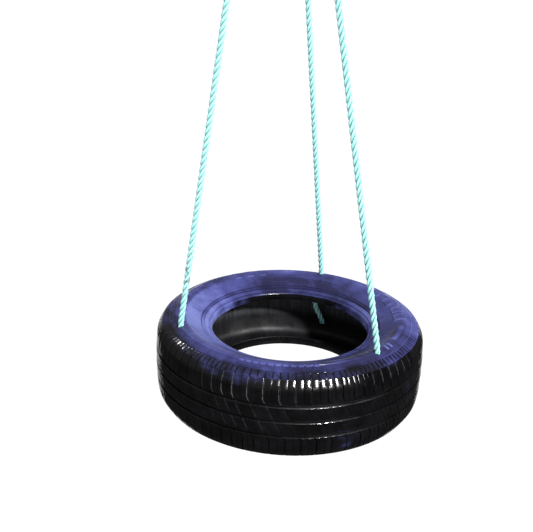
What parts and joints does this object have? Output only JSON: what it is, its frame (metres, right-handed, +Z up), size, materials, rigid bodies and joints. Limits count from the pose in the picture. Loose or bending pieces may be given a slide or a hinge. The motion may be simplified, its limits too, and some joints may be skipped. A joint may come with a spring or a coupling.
{
  "type": "tire swing",
  "caption": "Tire swing: a car tyre lying flat, its upper side painted, hung by laid ropes from a ball-bearing swivel with a two-way pivot under a beam plate.",
  "frame": {"origin": "middle of the hanger plate's top face, where it meets the beam", "axes": "+Z up, out of the plate's top face; +X along the plate's long side, to the right as the picture is seen; +Y away from the picture's camera"},
  "size_m": [0.639, 0.6354, 1.5926],
  "materials": {
    "tread_rubber": "worn black rubber, slightly glossy",
    "painted_sidewall": "blue-violet paint, patchy and thin, on black rubber",
    "sidewall_rubber": "black rubber, satin",
    "liner_rubber": "black butyl, soft sheen",
    "cord_ply": "rubberised cord, matte",
    "bead_wire": "bronze-coated wire",
    "rope": "pale aqua polypropylene, three-strand, slightly shiny",
    "galvanised_steel": "hot-dip galvanised",
    "zinc_steel": "bright zinc plate",
    "bearing_steel": "polished",
    "bronze": "sintered bronze"
  },
  "bodies": {
    "hanger": {"hanger_plate": "galvanised_steel", "upper_pin": "zinc_steel", "upper_pin_nut": "zinc_steel"},
    "pivot": {"pivot_block": "galvanised_steel", "upper_bush_a": "bronze", "upper_bush_b": "bronze", "lower_bush_a": "bronze", "lower_bush_b": "bronze"},
    "yoke": {"yoke": "galvanised_steel", "lower_pin": "zinc_steel", "lower_pin_nut": "zinc_steel", "bearing_race_lower": "bearing_steel"},
    "cage": {"bearing_cage": "bearing_steel"},
    "swing": {"bead_core_lower": "bead_wire", "bead_core_upper": "bead_wire", "bead_filler_lower": "cord_ply", "bead_filler_upper": "cord_ply", "bearing_race_upper": "bearing_steel", "belt_inner": "cord_ply", "belt_outer": "cord_ply", "body_ply": "cord_ply", "inner_liner": "liner_rubber", "load_washer_left": "galvanised_steel", "load_washer_rear": "galvanised_steel", "load_washer_right": "galvanised_steel", "rope_eye_left": "rope", "rope_eye_rear": "rope", "rope_eye_right": "rope", "rope_left": "rope", "rope_pin_left": "zinc_steel", "rope_pin_nut_left": "zinc_steel", "rope_pin_nut_rear": "zinc_steel", "rope_pin_nut_right": "zinc_steel", "rope_pin_rear": "zinc_steel", "rope_pin_right": "zinc_steel", "rope_plate": "galvanised_steel", "rope_rear": "rope", "rope_right": "rope", "rope_splice_left": "rope", "rope_splice_rear": "rope", "rope_splice_right": "rope", "rope_tail_left": "rope", "rope_tail_rear": "rope", "rope_tail_right": "rope", "sidewall_lower": "sidewall_rubber", "sidewall_upper": "painted_sidewall", "stopper_knot_left": "rope", "stopper_knot_rear": "rope", "stopper_knot_right": "rope", "swivel_bolt": "zinc_steel", "swivel_nut": "zinc_steel", "thimble_left": "galvanised_steel", "thimble_rear": "galvanised_steel", "thimble_right": "galvanised_steel", "tread_band": "tread_rubber"}
  },
  "joints": [
    {"name": "swing_fore_aft", "type": "hinge", "parent": "hanger", "child": "pivot", "pos_m": [0, 0, -0.038], "axis": [1, 0, 0], "range_deg": [-45, 45]},
    {"name": "swing_sideways", "type": "hinge", "parent": "pivot", "child": "yoke", "pos_m": [0, 0, -0.068], "axis": [0, 1, 0], "range_deg": [-45, 45]},
    {"name": "spin", "type": "hinge", "parent": "yoke", "child": "swing", "pos_m": [0, 0, -0.118], "axis": [0, 0, 1], "continuous": true},
    {"name": "cage_turn", "type": "hinge", "parent": "yoke", "child": "cage", "pos_m": [0, 0, -0.1045], "axis": [0, 0, 1], "continuous": true}
  ],
  "couplings": [
    {"joint": "cage_turn", "follows": "spin", "ratio": 0.5}
  ]
}
